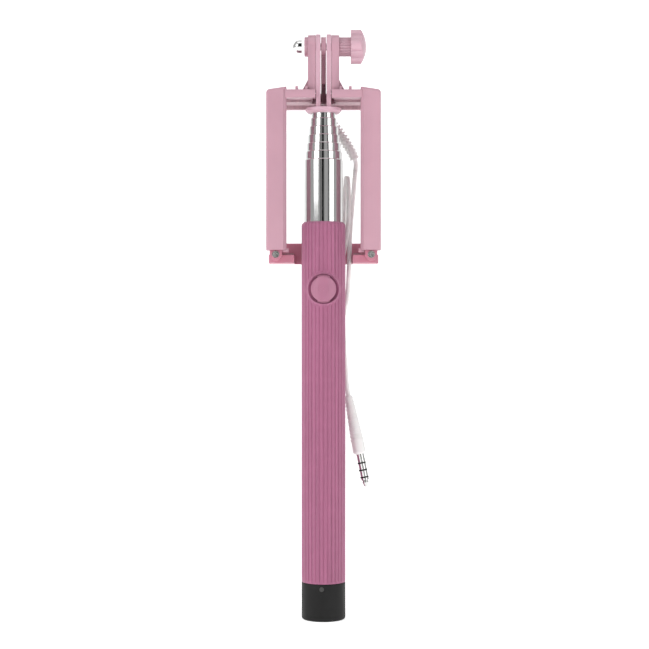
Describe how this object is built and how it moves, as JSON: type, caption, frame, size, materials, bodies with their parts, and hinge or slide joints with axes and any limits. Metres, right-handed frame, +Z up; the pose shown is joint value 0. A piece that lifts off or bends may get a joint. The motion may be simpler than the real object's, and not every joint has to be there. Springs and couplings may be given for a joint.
{
  "type": "selfie stick",
  "caption": "Telescopic selfie stick with ribbed grip, shutter button, folding spring phone clamp and wired audio plug.",
  "frame": {"origin": "centre of the end cap's bottom face", "axes": "+Z up the stick, -Y the button side, +X towards the thumb knob"},
  "size_m": [0.0466, 0.026, 0.2413],
  "materials": {
    "cap_black": "fine matt grain",
    "grip_rubber": "soft matt rubber with lengthwise ribs",
    "pink_plastic": "moulded, satin gloss",
    "tube_chrome": "polished, drawn lengthwise",
    "bush_plastic": "natural nylon",
    "steel": "bright zinc plated",
    "cable_white": "smooth satin vinyl",
    "cord_black": "satin vinyl",
    "board_green": "solder mask",
    "switch_black": "moulded",
    "plug_steel": "nickel plated",
    "pad_rubber": "soft matt pad"
  },
  "bodies": {
    "handle": {"end_cap": "cap_black", "cap_screw": "steel", "grip_sleeve": "grip_rubber", "outer_tube": "tube_chrome", "cord_anchor": "bush_plastic", "coil_cord": "cord_black", "switch_carrier": "bush_plastic", "switch_board": "board_green", "tact_switch": "switch_black", "switch_leads": "cord_black"},
    "button": {"button_cap": "pink_plastic", "switch_plunger": "switch_black"},
    "section_1": {"section_tube_1": "tube_chrome", "friction_bush_1": "bush_plastic"},
    "section_2": {"section_tube_2": "tube_chrome", "friction_bush_2": "bush_plastic"},
    "section_3": {"section_tube_3": "tube_chrome", "friction_bush_3": "bush_plastic"},
    "section_4": {"section_tube_4": "tube_chrome", "friction_bush_4": "bush_plastic"},
    "section_5": {"section_tube_5": "tube_chrome", "friction_bush_5": "bush_plastic"},
    "section_6": {"section_tube_6": "tube_chrome", "friction_bush_6": "bush_plastic", "neck_base": "pink_plastic", "cable_strain_relief": "cable_white", "cable": "cable_white", "plug_overmold": "cable_white", "plug_insulator": "switch_black", "plug_sleeve": "plug_steel", "plug_ring_1": "plug_steel", "plug_ring_2": "plug_steel", "plug_tip": "plug_steel"},
    "clamp": {"clamp_frame": "pink_plastic", "rail_cover_left": "pink_plastic", "rail_cover_right": "pink_plastic", "cover_screws": "steel", "frame_spring_pins": "steel", "upper_jaw_pad": "pad_rubber", "acorn_nut": "steel", "spring_left": "steel", "spring_right": "steel"},
    "jaw": {"slider_arm_left": "pink_plastic", "slider_arm_right": "pink_plastic", "arm_spring_pins": "steel", "jaw_screws": "steel", "lower_jaw": "pink_plastic", "lower_jaw_pads": "pad_rubber"},
    "thumb_screw": {"thumb_knob": "pink_plastic", "hinge_bolt": "steel"}
  },
  "joints": [
    {"name": "button_press", "type": "slide", "parent": "handle", "child": "button", "axis": [0, 1, 0], "range_m": [0, 0.00025], "stiffness_N_per_m": 4000, "springref_m": -0.0001},
    {"name": "section_1_slide", "type": "slide", "parent": "handle", "child": "section_1", "axis": [0, 0, 1], "range_m": [0, 0.12], "deforming": ["coil_cord"]},
    {"name": "section_2_slide", "type": "slide", "parent": "section_1", "child": "section_2", "axis": [0, 0, 1], "range_m": [0, 0.12], "deforming": ["coil_cord"]},
    {"name": "section_3_slide", "type": "slide", "parent": "section_2", "child": "section_3", "axis": [0, 0, 1], "range_m": [0, 0.12], "deforming": ["coil_cord"]},
    {"name": "section_4_slide", "type": "slide", "parent": "section_3", "child": "section_4", "axis": [0, 0, 1], "range_m": [0, 0.12], "deforming": ["coil_cord"]},
    {"name": "section_5_slide", "type": "slide", "parent": "section_4", "child": "section_5", "axis": [0, 0, 1], "range_m": [0, 0.12], "deforming": ["coil_cord"]},
    {"name": "section_6_slide", "type": "slide", "parent": "section_5", "child": "section_6", "axis": [0, 0, 1], "range_m": [0, 0.12], "deforming": ["coil_cord"]},
    {"name": "clamp_fold", "type": "hinge", "parent": "section_6", "child": "clamp", "pos_m": [0, 0, 0.2343], "axis": [1, 0, 0], "range_deg": [0, 270]},
    {"name": "jaw_slide", "type": "slide", "parent": "clamp", "child": "jaw", "axis": [0, 0, -1], "range_m": [0, 0.026], "stiffness_N_per_m": 150, "springref_m": -0.015, "deforming": ["spring_left", "spring_right"]},
    {"name": "thumb_turn", "type": "hinge", "parent": "clamp", "child": "thumb_screw", "pos_m": [0, 0, 0.2343], "axis": [1, 0, 0], "continuous": true}
  ]
}
